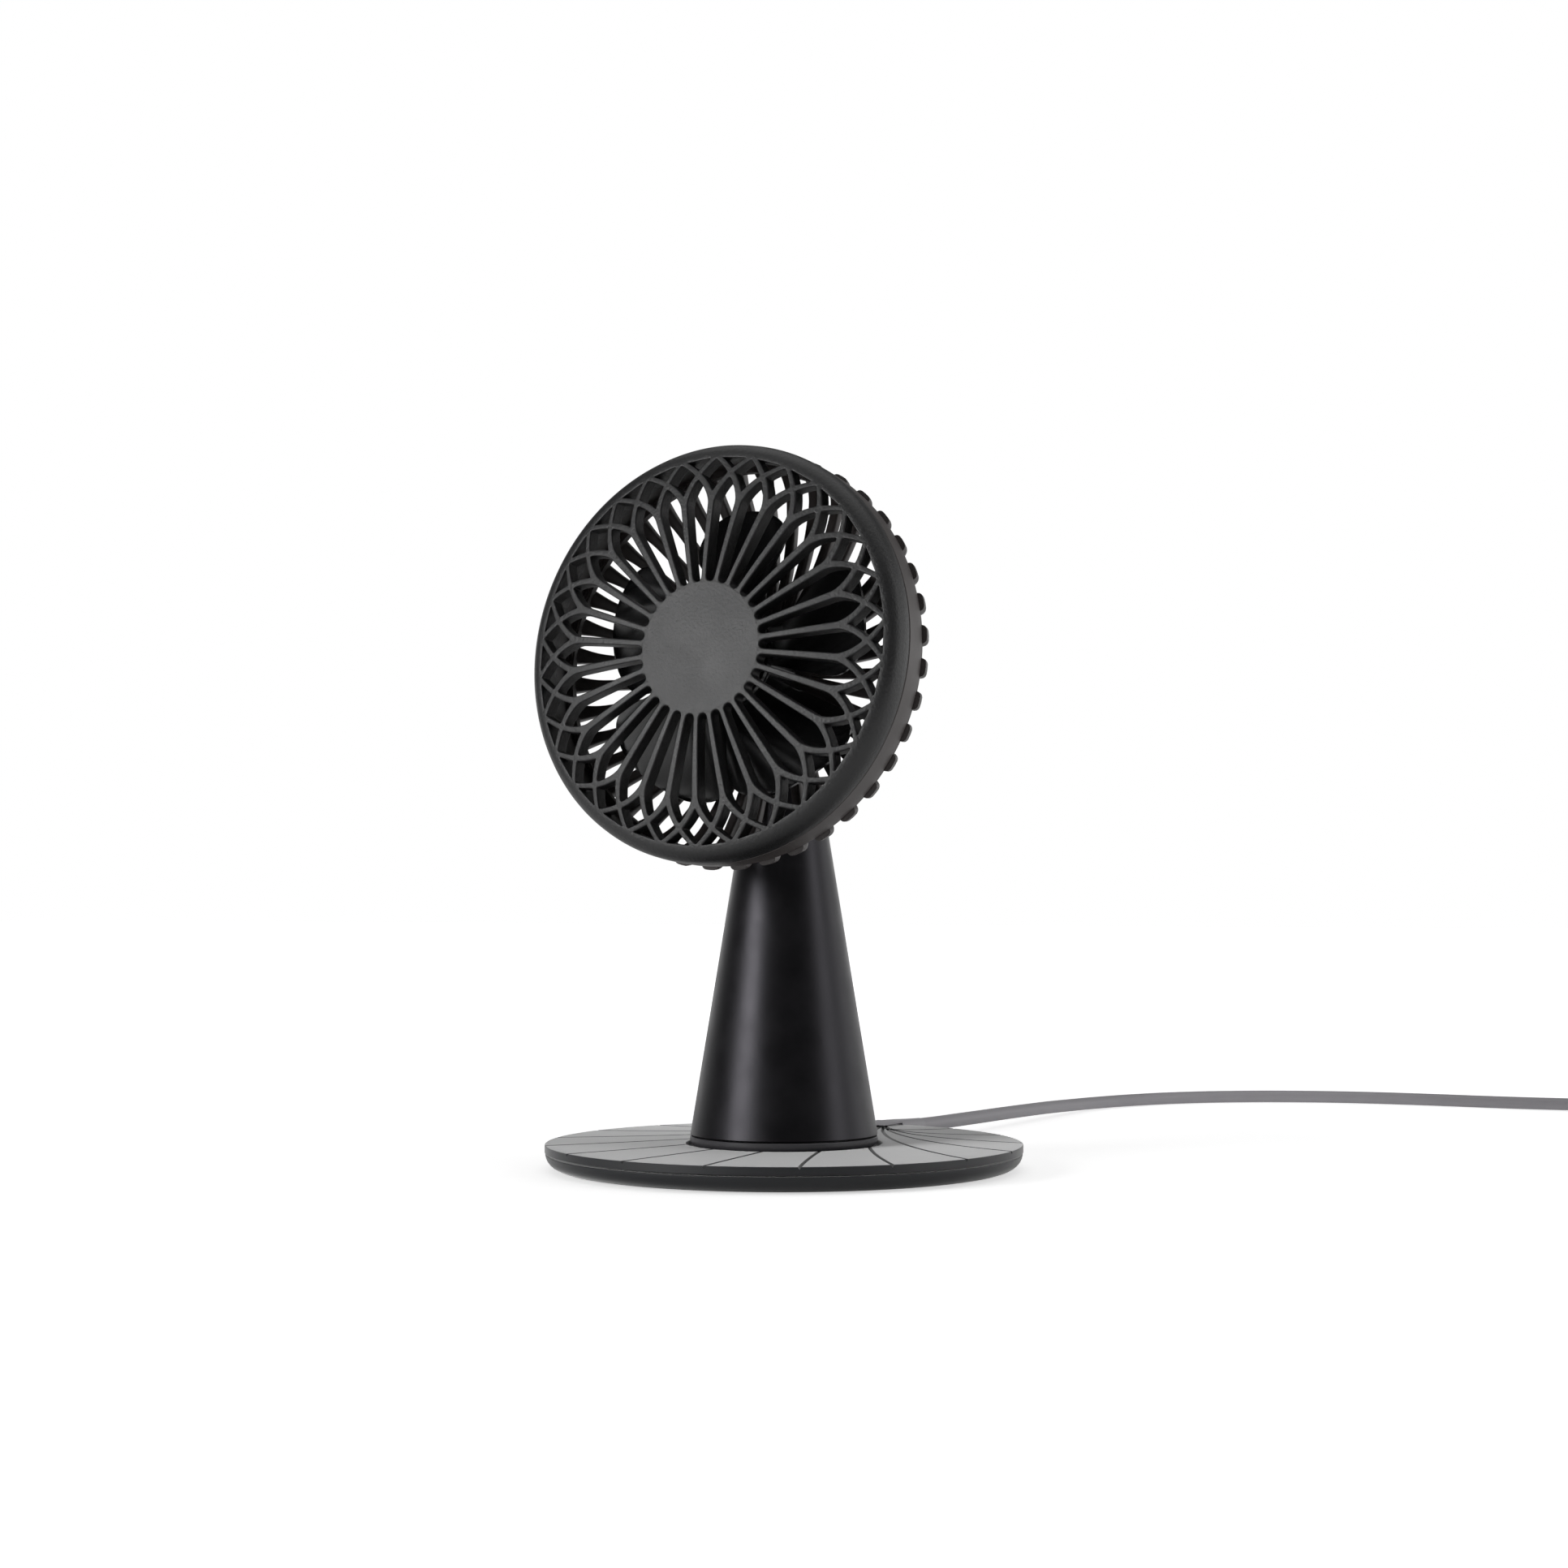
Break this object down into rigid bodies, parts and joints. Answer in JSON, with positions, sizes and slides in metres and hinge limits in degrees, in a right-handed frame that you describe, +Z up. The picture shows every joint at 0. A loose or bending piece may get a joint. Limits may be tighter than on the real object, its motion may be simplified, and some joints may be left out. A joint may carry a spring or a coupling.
{
  "type": "desk fan",
  "caption": "Rechargeable desk fan: round head with a petal-patterned front grille on a tapered stem, standing on a round grooved charging dock with a lead.",
  "frame": {"origin": "centre of the dock's underside, on the surface it stands on", "axes": "+Z up; the fan faces -Y and looks up by 6 degrees; the charging lead leaves at +Y; +X is to the right of someone behind the fan's front who looks along +Y"},
  "size_m": [0.3177, 0.3884, 0.2078],
  "materials": {
    "black_abs": "spark-textured moulded ABS, satin",
    "grey_abs": "moulded ABS, satin, warm dark grey",
    "black_aluminium": "fine bead-blasted and anodised black, satin",
    "gloss_black": "polished moulded PC",
    "black_rubber": "matte",
    "grey_pvc": "moulded soft PVC, satin",
    "steel": "bright zinc plated",
    "copper": "enamelled copper wire",
    "ferrite": "sintered, matte",
    "green_board": "solder-masked glass-fibre board",
    "blue_sleeve": "shrunk PVC sleeve",
    "milky_lens": "diffusing acrylic"
  },
  "bodies": {
    "dock": {"dock_plate": "black_abs", "dock_shell": "black_abs", "dock_foot": "black_rubber", "dock_weight": "steel", "dock_board": "green_board", "dock_ferrite": "ferrite", "dock_coil": "copper", "dock_screw_1": "steel", "dock_screw_2": "steel", "dock_screw_3": "steel", "dock_screw_4": "steel", "lead_gland": "grey_pvc", "lead_cord": "grey_pvc", "lead_coil": "grey_pvc", "coil_tie": "black_rubber", "lead_tail": "grey_pvc", "plug_body": "grey_pvc", "plug_shell": "steel"},
    "fan_body": {"front_grille": "black_abs", "rear_housing": "grey_abs", "rear_grille": "grey_abs", "bearing_tube": "steel", "bearing_front": "steel", "bearing_rear": "steel", "stator_core": "steel", "winding_front": "copper", "winding_rear": "copper", "motor_board": "green_board", "motor_lead": "black_rubber", "hub_screw_1": "steel", "hub_screw_2": "steel", "hub_screw_3": "steel", "neck": "black_abs", "stem_cone": "black_aluminium", "stem_cap": "black_abs", "cap_screw_1": "steel", "cap_screw_2": "steel", "cap_screw_3": "steel", "receiver_ferrite": "ferrite", "receiver_coil": "copper", "cell_carrier": "grey_abs", "cell_tab_low": "steel", "battery_cell": "blue_sleeve", "cell_tab_high": "steel", "control_board": "green_board", "button_switch": "gloss_black", "lamp_lens": "milky_lens"},
    "rotor": {"impeller": "gloss_black", "rotor_magnet": "ferrite", "motor_shaft": "steel"},
    "button": {"power_button": "black_abs"}
  },
  "joints": [
    {"name": "lift_off", "type": "slide", "parent": "dock", "child": "fan_body", "axis": [0, 0, 1], "range_m": [0, 0.15]},
    {"name": "impeller_spin", "type": "hinge", "parent": "fan_body", "child": "rotor", "pos_m": [0, -0.039, 0.148], "axis": [0, -0.9945, 0.1045], "continuous": true},
    {"name": "button_press", "type": "slide", "parent": "fan_body", "child": "button", "axis": [0, -0.987, -0.1609], "range_m": [0, 0.0008], "stiffness_N_per_m": 400, "springref_m": -0.0006}
  ]
}
